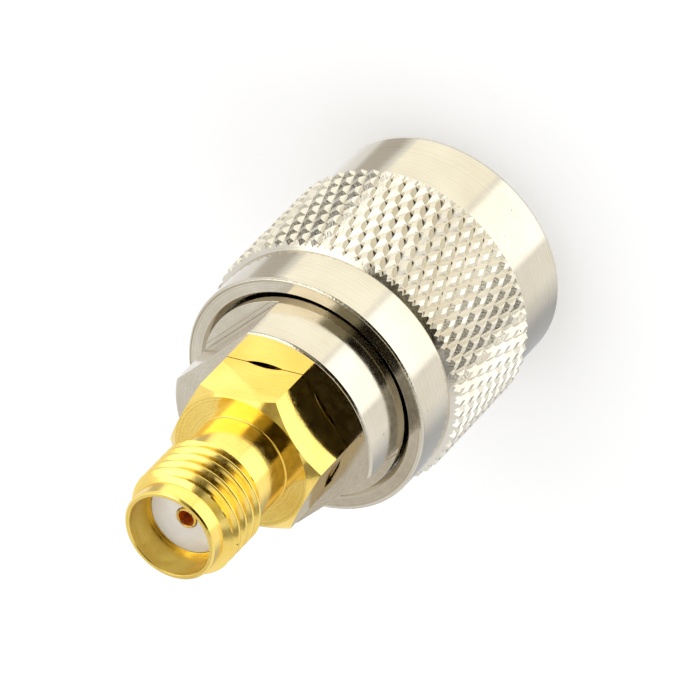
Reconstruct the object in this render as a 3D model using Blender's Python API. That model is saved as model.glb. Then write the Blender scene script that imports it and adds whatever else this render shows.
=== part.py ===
"""Coaxial adapter: a gilt SMA jack on a hexagon, set in a nickelled TNC plug.

The plug's knurled coupling nut stands on z = 0 and the jack points up +Z.
Sizes are in millimetres, and MM turns them into Blender's metres.
"""
import math

import bmesh
import bpy
from mathutils import Matrix

MM = 0.001
CLEAR = 0.03            # between pieces that seat on or in each other
WELD = 0.0005           # closes the seam of a turned piece
ROUND_STEPS = 48        # steps round a turned piece
SHARP_ANGLE = math.radians(25)
THREAD_HALF_ANGLE = math.radians(30)

# SMA jack
JACK_THREAD_R = 3.175   # 1/4-36 thread over its crests
JACK_THREAD_PITCH = 25.4 / 36
JACK_THREAD_LENGTH = 3.6
JACK_RUN_IN = 0.27      # length over which the thread reaches its full height
JACK_RUN_OUT = 0.15
JACK_LENGTH = 7.42      # mouth to the hexagon's face
LEAD_DROP = 0.475       # crests down to the plain end ahead of the thread
LEAD_LENGTH = 1.0
NECK_DROP = 0.435       # crests down to the neck behind the thread
MOUTH_WALL = 0.40       # plain end's wall round the bore
JACK_BORE_DEPTH = 1.85
MOUTH_CHAMFER = 0.12

# Hexagon
HEX_FLATS = 8.0
HEX_THICK = 3.33
HEX_FACE_DROP = 0.03    # flats in to the circle that the corner chamfer leaves
HEX_CHAMFER = 0.5       # length of that chamfer along the axis
HEX_TURN = math.radians(19.5)
SPIGOT_R = 3.43         # jack's shank, seated in the plug body
SPIGOT_LENGTH = 3.75

# Plug body
BODY_R = 6.0
BODY_FLATS = 10.0       # across its two wrench flats
BODY_FLAT_LENGTH = 3.05
BODY_CHAMFER = 0.15
RECESS_WIDTH = 0.725    # relief round the shank at the body's rear
RECESS_DEPTH = 0.1
BODY_FRONT_Z = 7.2      # face that carries the gasket
RING_GROOVE_DEPTH = 0.6

# Coupling nut
NUT_LENGTH = 15.0
SHOULDER_GAP = 0.4      # nut's back to the shoulder of the wrench flats
NUT_PLAY = 0.13         # round the body, in the nut's bore
NUT_WALL = 1.05         # bore to the plain collar and front band
NUT_CHAMFER = 0.12
NUT_HOLE_CHAMFER = 0.06
NUT_THREAD_R = 5.17     # 7/16-28 thread over its crests
NUT_RELIEF_DEPTH = 0.45 # crests out to the relief behind the thread
NUT_RELIEF_LENGTH = 1.3
SHELF_GAP = 0.3         # nut's inner shelf to the body's front face
NUT_GROOVE_DEPTH = 0.5
NUT_LEAD_CHAMFER = 0.48

# Diamond knurl
KNURL_TEETH = 60
KNURL_ROWS = 7
KNURL_ROW_PITCH = 1.0   # half a diamond along the axis
KNURL_RISE = 0.42       # crests above the plain collar
KNURL_DEPTH = 0.37      # crests to valleys
KNURL_RIM_DROP = 0.12   # from the crests down to the rim at both ends
KNURL_RIM_LENGTH = 0.25
KNURL_CHAMFER = 0.35    # length of the chamfer beyond each rim
BAND_LENGTH = 3.87      # plain band ahead of the knurl

# Snap ring
RING_DEPTH = 1.7        # nut's back to the middle of the ring
RING_THICK = 0.7
RING_OPENING = math.radians(24)
RING_PLAY = 0.1         # all round the ring in its two grooves

# Plug's outer contact
SLEEVE_R = 4.05
SLEEVE_WALL = 0.77
SLEEVE_TIP_Z = 1.8
SLEEVE_TIP_RISE = 0.07  # swelling at the fingers' tips
SLEEVE_TIP_LENGTH = 0.8
FINGER_WALL = 0.55
FINGER_LENGTH = 4.2
SEAT_DEPTH = 2.2        # sleeve's seat in the body
SLEEVE_SLOTS = 4
SLOT_WIDTH = 0.3
SLOT_LENGTH = 3.4

# Insulators
PLUG_INSULATOR_Z = 3.6
HOLLOW_WALL = 0.835     # leaves room for the mating dielectric round the pin
HOLLOW_DEPTH = 2.8
HOLLOW_FLOOR = 1.6      # hollow's floor to the contact's collar
BORE_STEP = 0.25        # ledge of the jack's bore round its insulator

# Centre contact, one turned piece with a pin and a socket
PIN_R = 0.675
PIN_TIP_R = 0.25
PIN_TIP_Z = 2.1
PIN_TAPER = 0.9
COLLAR_RISE = 0.365     # collar held captive between the two insulators
SOCKET_R = 0.635
SOCKET_WALL = 0.165
SOCKET_HOLE_DEPTH = 3.0
SOCKET_SLOTS = 4
SOCKET_SLOT_WIDTH = 0.14
SOCKET_SLOT_DEPTH = 2.0
SOCKET_CHAMFER = 0.06

# Gasket
GASKET_PLAY = 0.08      # round the sleeve's tips
GASKET_WIDTH = 0.8
GASKET_THICK = 1.5
GASKET_EDGE = 0.15

# Sizes that follow from the ones above
LEAD_R = JACK_THREAD_R - LEAD_DROP
NECK_R = JACK_THREAD_R - NECK_DROP
JACK_BORE_R = LEAD_R - MOUTH_WALL
JACK_INSULATOR_R = JACK_BORE_R - BORE_STEP
HEX_FACE_R = HEX_FLATS / 2 - HEX_FACE_DROP
RECESS_R = SPIGOT_R + RECESS_WIDTH
NUT_HOLE_R = BODY_R + NUT_PLAY
NUT_R = NUT_HOLE_R + NUT_WALL
KNURL_CREST_R = NUT_R + KNURL_RISE
KNURL_ROOT_R = KNURL_CREST_R - KNURL_DEPTH
KNURL_RIM_R = KNURL_CREST_R - KNURL_RIM_DROP
RING_GROOVE_R = BODY_R - RING_GROOVE_DEPTH
NUT_GROOVE_R = NUT_HOLE_R + NUT_GROOVE_DEPTH
RING_INNER_R = RING_GROOVE_R + RING_PLAY
RING_OUTER_R = NUT_GROOVE_R - RING_PLAY
NUT_RELIEF_R = NUT_THREAD_R + NUT_RELIEF_DEPTH
SLEEVE_BORE_R = SLEEVE_R - SLEEVE_WALL
SLEEVE_TIP_R = SLEEVE_R + SLEEVE_TIP_RISE
FINGER_BORE_R = SLEEVE_R - FINGER_WALL
PLUG_INSULATOR_R = SLEEVE_BORE_R - CLEAR
HOLLOW_R = PLUG_INSULATOR_R - HOLLOW_WALL
COLLAR_R = SOCKET_R + COLLAR_RISE
SOCKET_HOLE_R = SOCKET_R - SOCKET_WALL
GASKET_INNER_R = SLEEVE_TIP_R + GASKET_PLAY
GASKET_OUTER_R = GASKET_INNER_R + GASKET_WIDTH
RING_Z = NUT_LENGTH - RING_DEPTH
NUT_SHELF_Z = BODY_FRONT_Z - SHELF_GAP
NUT_THREAD_Z = NUT_SHELF_Z - NUT_RELIEF_LENGTH
SLEEVE_SEAT_Z = BODY_FRONT_Z + SEAT_DEPTH
FINGER_Z = SLEEVE_TIP_Z + FINGER_LENGTH
SLOT_Z = SLEEVE_TIP_Z + SLOT_LENGTH
HOLLOW_Z = PLUG_INSULATOR_Z + HOLLOW_DEPTH
COLLAR_Z = HOLLOW_Z + HOLLOW_FLOOR
SHOULDER_Z = NUT_LENGTH + SHOULDER_GAP
BODY_BACK_Z = SHOULDER_Z + BODY_FLAT_LENGTH
HEX_FACE_Z = BODY_BACK_Z + HEX_THICK
MOUTH_Z = HEX_FACE_Z + JACK_LENGTH
JACK_FLOOR_Z = MOUTH_Z - JACK_BORE_DEPTH
SPIGOT_END_Z = BODY_BACK_Z - SPIGOT_LENGTH
STACK_Z = SPIGOT_END_Z - CLEAR      # rear face of the plug's insulator


def finish(bm, name, material):
    """Turn a bmesh into a shaded object that carries its own material."""
    bmesh.ops.recalc_face_normals(bm, faces=bm.faces)
    mesh = bpy.data.meshes.new(name)
    bm.to_mesh(mesh)
    bm.free()
    mesh.shade_smooth()
    mesh.set_sharp_from_angle(angle=SHARP_ANGLE)
    piece = bpy.data.objects.new(name, mesh)
    bpy.context.collection.objects.link(piece)
    mesh.materials.append(material)
    return piece


def metal_or_plastic(name, colour, metallic, roughness):
    material = bpy.data.materials.new(name)
    material.use_nodes = True
    shader = material.node_tree.nodes["Principled BSDF"]
    shader.inputs["Base Color"].default_value = (*colour, 1.0)
    shader.inputs["Metallic"].default_value = metallic
    shader.inputs["Roughness"].default_value = roughness
    return material


def spin(outline, steps, ring=True, angle=math.tau):
    """Spin (radius, height) points about Z; a ring's outline closes on itself."""
    bm = bmesh.new()
    verts = [bm.verts.new((r * MM, 0.0, z * MM)) for r, z in outline]
    edges = [bm.edges.new(pair) for pair in zip(verts, verts[1:])]
    if ring:
        edges.append(bm.edges.new((verts[-1], verts[0])))
    bmesh.ops.spin(bm, geom=verts + edges, cent=(0.0, 0.0, 0.0), axis=(0.0, 0.0, 1.0),
                   angle=angle, steps=steps, use_merge=angle == math.tau)
    bmesh.ops.remove_doubles(bm, verts=bm.verts, dist=WELD * MM)
    return bm


def cutter(name, bm):
    """A hidden tool body for a Boolean."""
    bmesh.ops.recalc_face_normals(bm, faces=bm.faces)
    mesh = bpy.data.meshes.new(name)
    bm.to_mesh(mesh)
    bm.free()
    tool = bpy.data.objects.new(name, mesh)
    bpy.context.collection.objects.link(tool)
    tool.hide_render = True
    tool.display_type = "WIRE"
    return tool


def cut(piece, tool):
    modifier = piece.modifiers.new("cut_" + tool.name, "BOOLEAN")
    modifier.operation = "DIFFERENCE"
    modifier.solver = "EXACT"
    modifier.object = tool


def add_box(bm, size, centre, turn=0.0):
    """Add a box, then turn it about the Z axis of the part."""
    place = Matrix.Rotation(turn, 4, "Z") @ Matrix.Translation([c * MM for c in centre])
    scale = Matrix.Diagonal([*(s * MM for s in size), 1.0])
    bmesh.ops.create_cube(bm, size=1.0, matrix=place @ scale)


def slot_cutter(name, count, width, reach, low_z, high_z):
    """Radial slots, evenly spaced, from the reach's inner to its outer radius."""
    bm = bmesh.new()
    inner, outer = reach
    for index in range(count):
        add_box(bm, (outer - inner, width, high_z - low_z),
                ((inner + outer) / 2, 0.0, (low_z + high_z) / 2), index * math.tau / count)
    return cutter(name, bm)


def hexagon_cutter():
    """Everything outside the hexagon's six flats, as six slabs side by side."""
    bm = bmesh.new()
    slab = HEX_FLATS / 8
    reach = HEX_FLATS / 2 + slab / 2
    for index in range(6):
        add_box(bm, (slab, HEX_FLATS / math.sqrt(3), HEX_THICK + 2 * slab),
                (reach, 0.0, BODY_BACK_Z + HEX_THICK / 2), HEX_TURN + index * math.tau / 6)
    return cutter("hexagon_cutter", bm)


def thread_cutter(thread_end, thread_top):
    """Right-hand V groove that leaves the thread's crests and stays clear of the neck."""
    root_r = NECK_R + CLEAR
    flat = JACK_THREAD_PITCH / 8
    half_top = (JACK_THREAD_PITCH - flat) / 2
    half_root = half_top - (JACK_THREAD_R - root_r) * math.tan(THREAD_HALF_ANGLE)
    start = (math.floor(thread_end / JACK_THREAD_PITCH) - 0.5) * JACK_THREAD_PITCH
    turns = math.ceil((thread_top - start) / JACK_THREAD_PITCH) + 1
    reach_r = JACK_THREAD_R + flat
    outline = [(root_r, -half_root), (JACK_THREAD_R, -half_top), (reach_r, -half_top),
               (reach_r, half_top), (JACK_THREAD_R, half_top), (root_r, half_root)]
    bm = bmesh.new()
    verts = [bm.verts.new((r * MM, 0.0, (start + z) * MM)) for r, z in outline]
    edges = [bm.edges.new(pair) for pair in zip(verts, verts[1:] + verts[:1])]
    rise = JACK_THREAD_PITCH / ROUND_STEPS * MM
    bmesh.ops.spin(bm, geom=verts + edges, cent=(0.0, 0.0, 0.0), axis=(0.0, 0.0, 1.0),
                   dvec=(0.0, 0.0, rise), angle=turns * math.tau, steps=turns * ROUND_STEPS)
    bmesh.ops.holes_fill(bm, edges=[e for e in bm.edges if e.is_boundary], sides=len(outline))
    return cutter("thread_cutter", bm)


def jack_body(gold):
    """Mouth, thread, neck, hexagon and shank, turned in one piece."""
    corner_r = HEX_FLATS / math.sqrt(3)
    thread_top = MOUTH_Z - LEAD_LENGTH
    thread_end = thread_top - JACK_THREAD_LENGTH
    seat = BODY_BACK_Z + CLEAR
    bore_r = JACK_INSULATOR_R + CLEAR
    outline = [
        (bore_r, SPIGOT_END_Z),
        (bore_r, JACK_FLOOR_Z),
        (JACK_BORE_R, JACK_FLOOR_Z),
        (JACK_BORE_R, MOUTH_Z - MOUTH_CHAMFER),
        (JACK_BORE_R + MOUTH_CHAMFER, MOUTH_Z),
        (LEAD_R - MOUTH_CHAMFER, MOUTH_Z),
        (LEAD_R, MOUTH_Z - MOUTH_CHAMFER),
        (LEAD_R, thread_top),
        (JACK_THREAD_R, thread_top - JACK_RUN_IN),
        (JACK_THREAD_R, thread_end + JACK_RUN_OUT),
        (NECK_R, thread_end),
        (NECK_R, HEX_FACE_Z),
        (HEX_FACE_R, HEX_FACE_Z),
        (corner_r, HEX_FACE_Z - HEX_CHAMFER),
        (corner_r, seat),
        (SPIGOT_R, seat),
        (SPIGOT_R, SPIGOT_END_Z + MOUTH_CHAMFER),
        (SPIGOT_R - MOUTH_CHAMFER, SPIGOT_END_Z),
    ]
    piece = finish(spin(outline, ROUND_STEPS), "sma_body", gold)
    cut(piece, hexagon_cutter())
    cut(piece, thread_cutter(thread_end, thread_top))
    return piece


def plug_body(nickel):
    """Barrel with two wrench flats, a snap ring groove and a stepped bore."""
    groove_low = RING_Z - RING_THICK / 2 - CLEAR
    groove_high = RING_Z + RING_THICK / 2 + CLEAR
    sleeve_bore = SLEEVE_R + CLEAR
    insulator_bore = PLUG_INSULATOR_R + CLEAR
    spigot_bore = SPIGOT_R + CLEAR
    outline = [
        (sleeve_bore, BODY_FRONT_Z),
        (BODY_R - BODY_CHAMFER, BODY_FRONT_Z),
        (BODY_R, BODY_FRONT_Z + BODY_CHAMFER),
        (BODY_R, groove_low),
        (RING_GROOVE_R, groove_low),
        (RING_GROOVE_R, groove_high),
        (BODY_R, groove_high),
        (BODY_R, BODY_BACK_Z - BODY_CHAMFER),
        (BODY_R - BODY_CHAMFER, BODY_BACK_Z),
        (RECESS_R, BODY_BACK_Z),
        (RECESS_R, BODY_BACK_Z - RECESS_DEPTH),
        (spigot_bore, BODY_BACK_Z - RECESS_DEPTH),
        (spigot_bore, STACK_Z),
        (insulator_bore, STACK_Z),
        (insulator_bore, SLEEVE_SEAT_Z),
        (sleeve_bore, SLEEVE_SEAT_Z),
    ]
    piece = finish(spin(outline, ROUND_STEPS), "tnc_body", nickel)
    bm = bmesh.new()
    slab = BODY_R - BODY_FLATS / 2 + BODY_CHAMFER
    height = BODY_FLAT_LENGTH + BODY_CHAMFER
    for turn in (0.0, math.pi):
        add_box(bm, (slab, 2 * BODY_R, height),
                (BODY_FLATS / 2 + slab / 2, 0.0, SHOULDER_Z + height / 2), turn)
    cut(piece, cutter("wrench_flat_cutter", bm))
    return piece


def knurl_row_heights():
    """Heights of the knurl's rows of crossings, from the top row down."""
    low = BAND_LENGTH + KNURL_CHAMFER + KNURL_RIM_LENGTH
    return [low + KNURL_ROW_PITCH * row for row in range(KNURL_ROWS, -1, -1)]


def press_knurl(bm):
    """Halve the knurl's columns, sink every other point and crease the valleys."""
    heights = knurl_row_heights()
    top_rim = heights[0] + KNURL_RIM_LENGTH
    low_rim = heights[-1] - KNURL_RIM_LENGTH
    near = KNURL_RIM_LENGTH / 10

    def outside_row(vert):
        """True for points on the knurl's rows or its two rims."""
        radius = math.hypot(vert.co.x, vert.co.y) / MM
        z = vert.co.z / MM
        return radius > KNURL_RIM_R - near and low_rim - near < z < top_rim + near

    around = [e for e in bm.edges if all(outside_row(v) for v in e.verts)
              and abs(e.verts[0].co.z - e.verts[1].co.z) < near * MM]
    bmesh.ops.subdivide_edges(bm, edges=around, cuts=1)
    half_tooth = math.pi / KNURL_TEETH
    valleys = set()
    for vert in [v for v in bm.verts if math.hypot(v.co.x, v.co.y) > (NUT_R + near) * MM]:
        column = round(math.atan2(vert.co.y, vert.co.x) / half_tooth)
        z = vert.co.z / MM
        rows = [i for i, height in enumerate(heights) if abs(height - z) < near]
        radius = KNURL_RIM_R
        if rows:
            is_valley = (column + rows[0]) % 2 == 1
            radius = KNURL_ROOT_R if is_valley else KNURL_CREST_R
            if is_valley:
                valleys.add(vert)
        vert.co.x = radius * math.cos(column * half_tooth) * MM
        vert.co.y = radius * math.sin(column * half_tooth) * MM
    for face in list(bm.faces):
        low_points = [v for v in face.verts if v in valleys]
        if len(low_points) == 2:
            bmesh.utils.face_split(face, *low_points)
    uneven = [f for f in bm.faces if any(v in valleys for v in f.verts) or len(f.verts) > 4]
    bmesh.ops.triangulate(bm, faces=uneven)


def coupling_nut(nickel):
    """Turned sleeve with a thread blank, a snap ring groove and a diamond knurl."""
    groove_low = RING_Z - RING_THICK / 2 - RING_PLAY
    groove_high = RING_Z + RING_THICK / 2 + RING_PLAY
    heights = knurl_row_heights()
    top_rim = heights[0] + KNURL_RIM_LENGTH
    low_rim = heights[-1] - KNURL_RIM_LENGTH
    inside = [
        (NUT_THREAD_R + NUT_LEAD_CHAMFER, 0.0),
        (NUT_THREAD_R, NUT_LEAD_CHAMFER),
        (NUT_THREAD_R, NUT_THREAD_Z),
        (NUT_RELIEF_R, NUT_THREAD_Z),
        (NUT_RELIEF_R, NUT_SHELF_Z),
        (NUT_HOLE_R, NUT_SHELF_Z),
        (NUT_HOLE_R, groove_low),
        (NUT_GROOVE_R, groove_low),
        (NUT_GROOVE_R, groove_high),
        (NUT_HOLE_R, groove_high),
        (NUT_HOLE_R, NUT_LENGTH - NUT_HOLE_CHAMFER),
        (NUT_HOLE_R + NUT_HOLE_CHAMFER, NUT_LENGTH),
    ]
    outside = [
        (NUT_R - NUT_CHAMFER, NUT_LENGTH),
        (NUT_R, NUT_LENGTH - NUT_CHAMFER),
        (NUT_R, top_rim + KNURL_CHAMFER),
        (KNURL_RIM_R, top_rim),
        *((KNURL_CREST_R, z) for z in heights),
        (KNURL_RIM_R, low_rim),
        (NUT_R, low_rim - KNURL_CHAMFER),
        (NUT_R, NUT_CHAMFER),
        (NUT_R - NUT_CHAMFER, 0.0),
    ]
    bm = spin(inside + outside, KNURL_TEETH)
    press_knurl(bm)
    return finish(bm, "coupling_nut", nickel)


def snap_ring(steel):
    """Split ring that holds the nut on the body and lets it turn."""
    low = RING_Z - RING_THICK / 2
    high = RING_Z + RING_THICK / 2
    outline = [(RING_INNER_R, low), (RING_OUTER_R, low), (RING_OUTER_R, high), (RING_INNER_R, high)]
    bm = spin(outline, ROUND_STEPS, angle=math.tau - RING_OPENING)
    bmesh.ops.holes_fill(bm, edges=[e for e in bm.edges if e.is_boundary], sides=len(outline))
    return finish(bm, "snap_ring", steel)


def outer_contact(nickel):
    """Slotted sleeve whose fingers spring against the mating bore."""
    tip_mid = SLEEVE_TIP_Z + SLEEVE_TIP_LENGTH / 2
    tip_end = SLEEVE_TIP_Z + SLEEVE_TIP_LENGTH
    step = SLEEVE_WALL - FINGER_WALL
    outline = [
        (FINGER_BORE_R, SLEEVE_TIP_Z),
        (SLEEVE_R - step / 2, SLEEVE_TIP_Z),
        (SLEEVE_TIP_R, tip_mid),
        (SLEEVE_R, tip_end),
        (SLEEVE_R, SLEEVE_SEAT_Z - CLEAR),
        (SLEEVE_BORE_R, SLEEVE_SEAT_Z - CLEAR),
        (SLEEVE_BORE_R, FINGER_Z),
        (FINGER_BORE_R, FINGER_Z - step),
    ]
    piece = finish(spin(outline, ROUND_STEPS), "outer_contact", nickel)
    reach = (SLEEVE_BORE_R - step, SLEEVE_TIP_R + step)
    cut(piece, slot_cutter("sleeve_slot_cutter", SLEEVE_SLOTS, SLOT_WIDTH, reach,
                           SLEEVE_TIP_Z - step, SLOT_Z))
    return piece


def plug_insulator(ptfe):
    """Stepped bush round the pin, hollow at its front."""
    outline = [
        (HOLLOW_R, PLUG_INSULATOR_Z),
        (PLUG_INSULATOR_R, PLUG_INSULATOR_Z),
        (PLUG_INSULATOR_R, STACK_Z),
        (COLLAR_R + CLEAR, STACK_Z),
        (COLLAR_R + CLEAR, COLLAR_Z - CLEAR),
        (PIN_R + CLEAR, COLLAR_Z - CLEAR),
        (PIN_R + CLEAR, HOLLOW_Z),
        (HOLLOW_R, HOLLOW_Z),
    ]
    return finish(spin(outline, ROUND_STEPS), "tnc_insulator", ptfe)


def jack_insulator(ptfe):
    """Plain bush, flush with the floor of the jack's bore."""
    outline = [
        (SOCKET_R + CLEAR, SPIGOT_END_Z),
        (JACK_INSULATOR_R, SPIGOT_END_Z),
        (JACK_INSULATOR_R, JACK_FLOOR_Z),
        (SOCKET_R + CLEAR, JACK_FLOOR_Z),
    ]
    return finish(spin(outline, ROUND_STEPS), "sma_insulator", ptfe)


def centre_contact(gold):
    """Pin for the plug, captive collar, and slotted socket for the jack."""
    hole_floor = JACK_FLOOR_Z - SOCKET_HOLE_DEPTH
    outline = [
        (0.0, PIN_TIP_Z),
        (PIN_TIP_R, PIN_TIP_Z),
        (PIN_R, PIN_TIP_Z + PIN_TAPER),
        (PIN_R, COLLAR_Z),
        (COLLAR_R, COLLAR_Z),
        (COLLAR_R, STACK_Z),
        (SOCKET_R, STACK_Z),
        (SOCKET_R, JACK_FLOOR_Z - SOCKET_CHAMFER),
        (SOCKET_R - SOCKET_CHAMFER, JACK_FLOOR_Z),
        (SOCKET_HOLE_R, JACK_FLOOR_Z),
        (SOCKET_HOLE_R, hole_floor),
        (0.0, hole_floor - SOCKET_HOLE_R),
    ]
    piece = finish(spin(outline, ROUND_STEPS // 2, ring=False), "centre_contact", gold)
    reach = (SOCKET_HOLE_R / 2, SOCKET_R + SOCKET_CHAMFER)
    cut(piece, slot_cutter("socket_slot_cutter", SOCKET_SLOTS, SOCKET_SLOT_WIDTH, reach,
                           JACK_FLOOR_Z - SOCKET_SLOT_DEPTH, JACK_FLOOR_Z + SOCKET_CHAMFER))
    return piece


def gasket(silicone):
    """Flat seal on the body's front face, round the outer contact."""
    back = BODY_FRONT_Z - CLEAR
    front = back - GASKET_THICK
    outline = [
        (GASKET_INNER_R + GASKET_EDGE, front),
        (GASKET_OUTER_R - GASKET_EDGE, front),
        (GASKET_OUTER_R, front + GASKET_EDGE),
        (GASKET_OUTER_R, back),
        (GASKET_INNER_R, back),
        (GASKET_INNER_R, front + GASKET_EDGE),
    ]
    return finish(spin(outline, ROUND_STEPS), "gasket", silicone)


def clear_scene():
    for leftover in list(bpy.data.objects):
        bpy.data.objects.remove(leftover, do_unlink=True)


def main():
    clear_scene()
    gold = metal_or_plastic("gold_plate", (0.90, 0.68, 0.26), 1.0, 0.15)
    contact_gold = metal_or_plastic("contact_gold", (0.92, 0.69, 0.28), 1.0, 0.2)
    body_nickel = metal_or_plastic("body_nickel", (0.80, 0.78, 0.73), 1.0, 0.15)
    nut_nickel = metal_or_plastic("nut_nickel", (0.82, 0.80, 0.75), 1.0, 0.15)
    sleeve_nickel = metal_or_plastic("sleeve_nickel", (0.80, 0.78, 0.74), 1.0, 0.2)
    ring_steel = metal_or_plastic("spring_steel", (0.55, 0.54, 0.52), 1.0, 0.35)
    ptfe_white = metal_or_plastic("ptfe_white", (0.85, 0.83, 0.80), 0.0, 0.4)
    ptfe_cream = metal_or_plastic("ptfe_cream", (0.85, 0.83, 0.80), 0.0, 0.4)
    silicone = metal_or_plastic("silicone_red", (0.42, 0.09, 0.05), 0.0, 0.5)
    jack_body(gold)
    plug_body(body_nickel)
    coupling_nut(nut_nickel)
    snap_ring(ring_steel)
    outer_contact(sleeve_nickel)
    plug_insulator(ptfe_cream)
    jack_insulator(ptfe_white)
    centre_contact(contact_gold)
    gasket(silicone)


main()
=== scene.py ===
"""Looks for the coaxial adapter: gilt jack on a hexagon, nickelled plug, knurled coupling nut.

Sizes are millimetres in the part's frame, with z up from the nut's front face.
"""

import math

import bmesh
import bpy
import numpy as np
from mathutils import Matrix, Vector


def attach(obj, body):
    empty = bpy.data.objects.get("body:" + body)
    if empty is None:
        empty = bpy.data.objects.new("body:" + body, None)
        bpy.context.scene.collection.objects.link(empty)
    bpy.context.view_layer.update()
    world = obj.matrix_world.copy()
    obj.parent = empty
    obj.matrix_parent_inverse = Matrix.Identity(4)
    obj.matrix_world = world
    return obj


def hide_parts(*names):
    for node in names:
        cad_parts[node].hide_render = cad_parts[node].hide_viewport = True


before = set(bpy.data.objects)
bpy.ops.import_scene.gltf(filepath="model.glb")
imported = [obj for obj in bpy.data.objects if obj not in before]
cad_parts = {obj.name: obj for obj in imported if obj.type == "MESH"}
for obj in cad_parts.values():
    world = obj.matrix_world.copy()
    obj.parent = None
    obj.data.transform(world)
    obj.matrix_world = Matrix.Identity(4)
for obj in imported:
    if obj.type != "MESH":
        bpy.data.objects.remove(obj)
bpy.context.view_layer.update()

MM = 0.001               # one millimetre in Blender's metres
INCH = 25.4
TURN = math.tau
SEAT_GAP = 0.03          # between pieces that seat on or in each other

# How finely turned pieces and threads are drawn
LATHE_STEPS = 256        # steps round a turned piece
ARC_STEP = math.radians(18)
ARC_LEAD = 0.008         # straight length held beside an arc
WELD = 0.001             # points nearer than this on the axis become one
CREASE = math.radians(32)
EASE_ANGLE = math.radians(25)
EASE_SEGMENTS = 3
FLANK_SLOPE = math.tan(math.radians(58))
THREAD_ROUNDING = 0.018  # of a thread's crests and roots
JACK_THREAD_STEP = 0.02
NUT_THREAD_STEP = 0.03

# Fillets, from the finest that the lathe leaves
HAIR = 0.01
FINE = 0.02
SMALL = 0.03
FAIR = 0.04
BROAD = 0.05
WIDE = 0.08
FULL = 0.1

# Cutters: how far one stands out past the piece that it cuts
CUT_SPARE = 0.2
SLOT_SPARE = 0.3
SOCKET_SLOT_SPARE = 0.1
HEX_CUTTER = 1.0         # thickness of the slab that mills one flat of the hexagon
BORE_MARGIN = 0.01       # reach of a bore's own finish past its wall

# Metal and plastic: sizes of the patterns on them
DRIFT_SIZE = 2.857       # slow change of the metal's colour
SMEAR_SIZE = 0.4545      # duller and brighter patches
STIPPLE_SIZE = 0.1429    # fine grain on the metal
SPECK_CELL = 0.7692      # cell that may hold one pin-hole
SPECK_REACH = 0.07       # largest pin-hole, as a share of its cell
EDGE_WEAR = 30.0         # depth of the dents in a worn edge, in lathe lines
CLOUD_SIZE = 1.25        # cloud in the plastic
LIGHT_DEPTH = 0.4        # how deep light goes into the plastic
GOLD_STAIN = "#5A3A12"
NICKEL_STAIN = "#4C463C"
STEEL_STAIN = "#3C3833"

# Camera: a long lens above the jack's end, rolled so that the jack points to the lower left,
# and placed by matching the thread, mouth, hexagon and body to the photograph
CAMERA_AZIMUTH = math.radians(9.5)
CAMERA_ELEVATION = math.radians(44.53)
CAMERA_ROLL = math.radians(-136.16)
CAMERA_DISTANCE = 477.47
CAMERA_TARGET = (0.276, -2.152, 12.396)
CAMERA_LENS = 462.86
CAMERA_SENSOR = 36.0
CLIP_RATIO = 10          # clip planes this much nearer and farther than the part

# Light tent: radius of its outermost panel, step in to each nearer layer, and panel mesh
TENT_REACH = 900.0
TENT_LAYER = 20.0
PANEL_COLUMNS = 24
PANEL_ROWS = 12

# Surround, floor and soft lamps, with each lamp's name, azimuth and elevation
SURROUND_LEVEL = 0.8
FLOOR_SIZE = 2400.0
FLOOR_GLOW = 0.14
LAMP_REACH = 500.0
LAMP_SIZE = 400.0
LAMP_WATTS = 0.3
LAMPS = [("left_lamp", math.radians(-150), math.radians(50)),
         ("right_lamp", math.radians(-20), math.radians(50)),
         ("top_lamp", math.radians(95), math.radians(75))]

# Heights along the axis, worked out from the lengths between them
NUT_BACK_Z = 15.0
BODY_FRONT_Z = 7.2
SHOULDER_GAP = 0.4       # nut's back to the shoulder of the wrench flats
FLAT_LENGTH = 3.05
HEX_THICK = 3.33
JACK_LENGTH = 7.42
JACK_BORE_DEPTH = 1.85
SPIGOT_LENGTH = 3.75
SHOULDER_Z = NUT_BACK_Z + SHOULDER_GAP
BODY_BACK_Z = SHOULDER_Z + FLAT_LENGTH
HEX_FACE_Z = BODY_BACK_Z + HEX_THICK
MOUTH_Z = HEX_FACE_Z + JACK_LENGTH
JACK_FLOOR_Z = MOUTH_Z - JACK_BORE_DEPTH
SPIGOT_END_Z = BODY_BACK_Z - SPIGOT_LENGTH
STACK_Z = SPIGOT_END_Z - SEAT_GAP    # where the two insulators meet

# Jack
JACK_THREAD_R = 3.175    # over the crests
JACK_THREAD_LENGTH = 3.6
JACK_THREAD_PITCH = INCH / 36
RUN_IN_SLOPE = 1.33      # rise of the bevel at the thread's start, and at its end
RUN_OUT_SLOPE = 3.0
LEAD_LENGTH = 1.0        # plain end ahead of the thread
JACK_THREAD_TOP_Z = MOUTH_Z - LEAD_LENGTH
JACK_THREAD_END_Z = JACK_THREAD_TOP_Z - JACK_THREAD_LENGTH
LEAD_DROP = 0.475        # crests down to that end
LEAD_R = JACK_THREAD_R - LEAD_DROP
NECK_DROP = 0.435
NECK_R = JACK_THREAD_R - NECK_DROP
NECK_FOOT = 0.12         # flange under the neck
NECK_FOOT_FILLET = 0.07
NECK_FOOT_LIFT = 0.002   # holds the foot's flat just above the hexagon's face
BARREL_SINK = 0.3        # length of the barrel inside the hexagon
MOUTH_WALL = 0.30
JACK_BORE_R = LEAD_R - MOUTH_WALL
BORE_STEP = 0.25         # ledge of the bore round its insulator
JACK_INSULATOR_R = JACK_BORE_R - BORE_STEP
JACK_SEAT_R = JACK_INSULATOR_R + SEAT_GAP
MOUTH_CHAMFER = 0.10
MOUTH_BORE_FLARE = 0.03
MOUTH_BORE_CHAMFER = 0.04

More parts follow.
